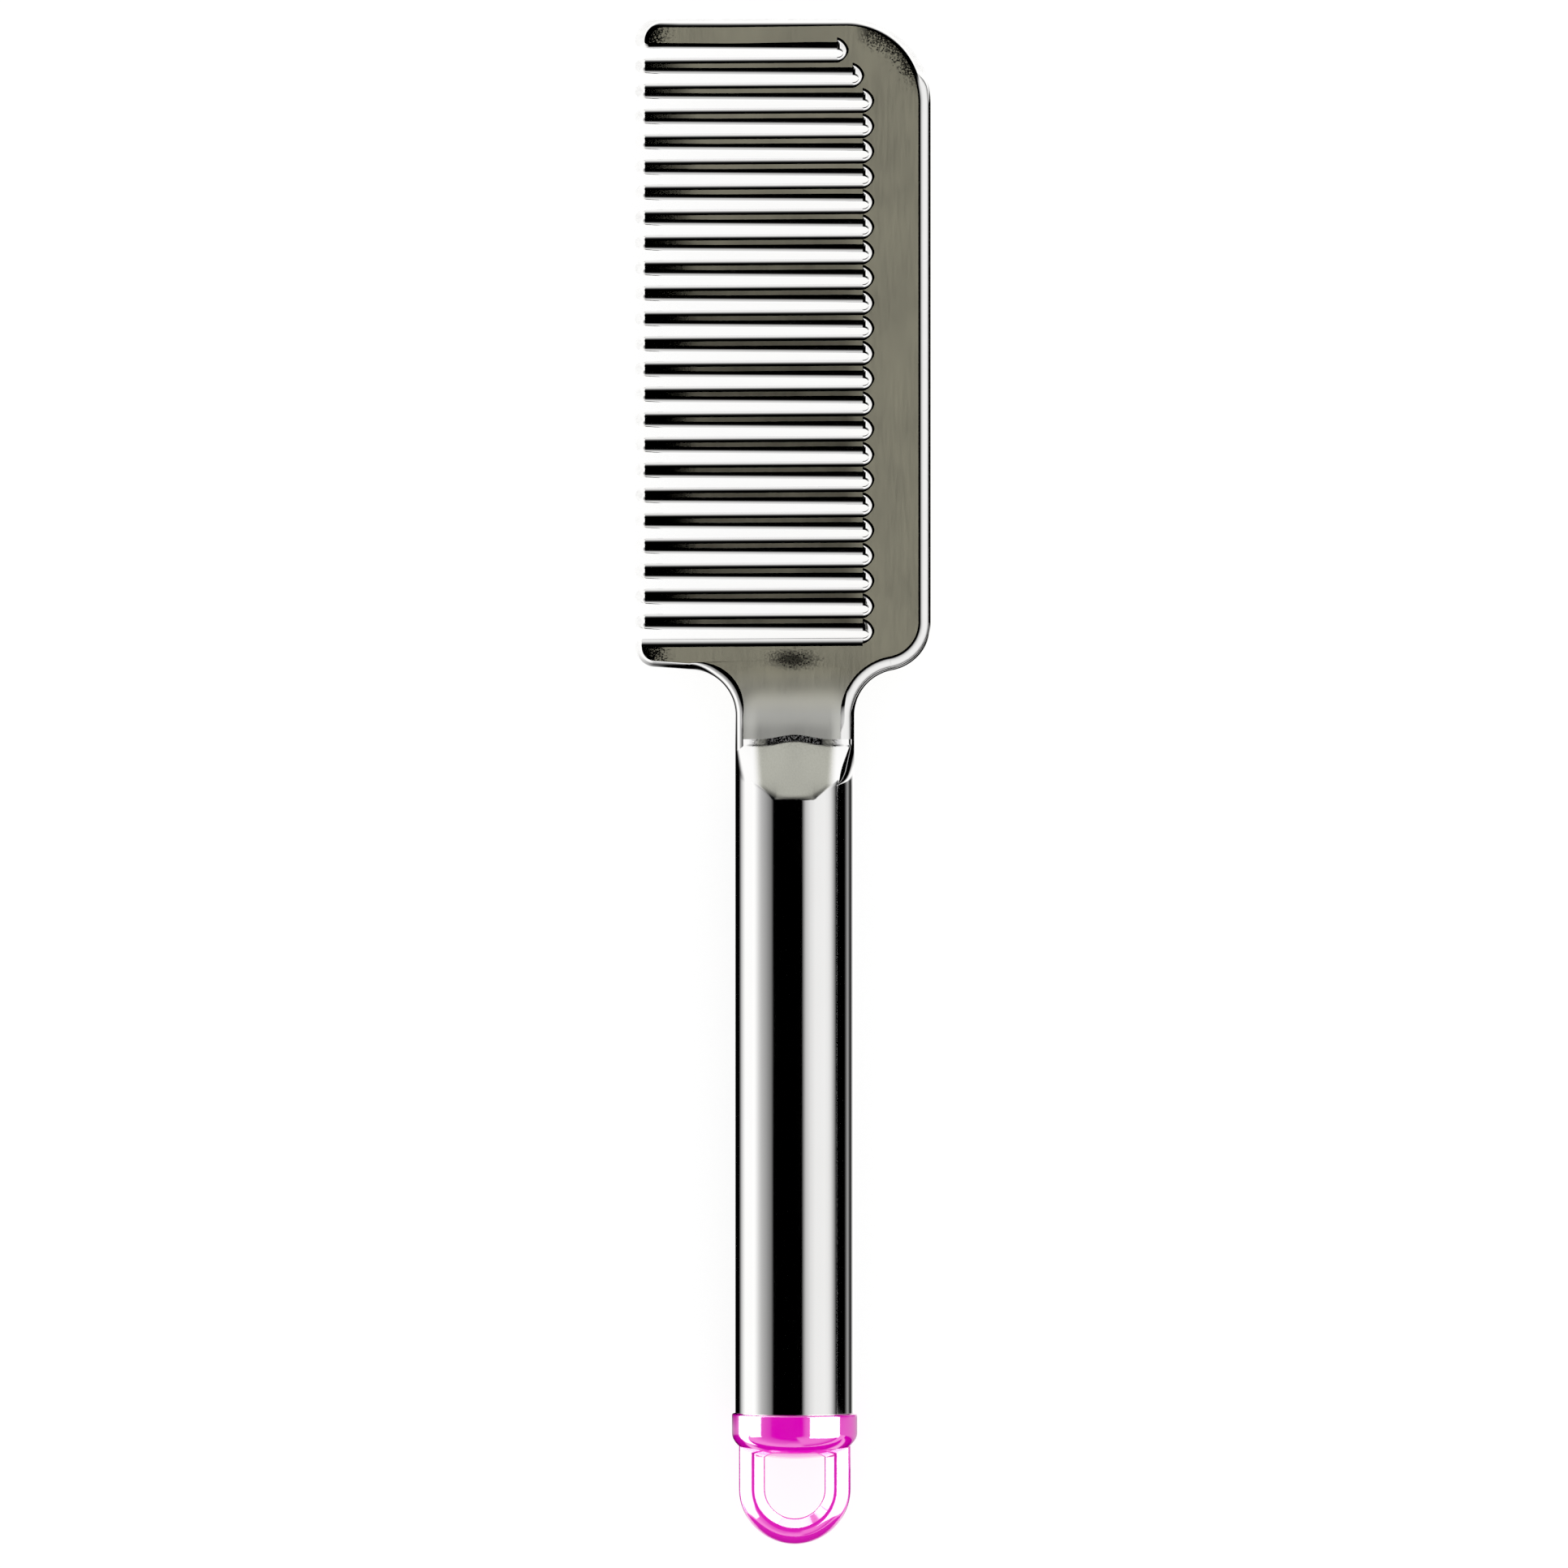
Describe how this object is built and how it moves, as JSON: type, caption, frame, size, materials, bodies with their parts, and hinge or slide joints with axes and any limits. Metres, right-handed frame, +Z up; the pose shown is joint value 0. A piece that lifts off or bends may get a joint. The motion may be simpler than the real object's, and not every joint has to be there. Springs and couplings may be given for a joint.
{
  "type": "flat comb with tubular handle",
  "caption": "Flat metal comb: a row of long round-edged teeth along one side, a tubular handle gripped onto its tang, and an end cap with a hanging loop.",
  "frame": {"origin": "under the middle of the whole comb, on the surface that it lies on", "axes": "+Y along the comb from the hanging loop to the blade's free end, +X from the tooth tips to the spine, +Z up out of the blade's face"},
  "size_m": [0.04, 0.2054, 0.0169],
  "materials": {
    "satin_steel": "satin",
    "tube_chrome": "mirror polished",
    "cap_plastic": "high gloss",
    "loop_plastic": "high gloss"
  },
  "bodies": {
    "root": {"comb_blade": "satin_steel", "handle_tube": "tube_chrome", "end_cap": "cap_plastic", "hang_loop": "loop_plastic"}
  },
  "joints": []
}
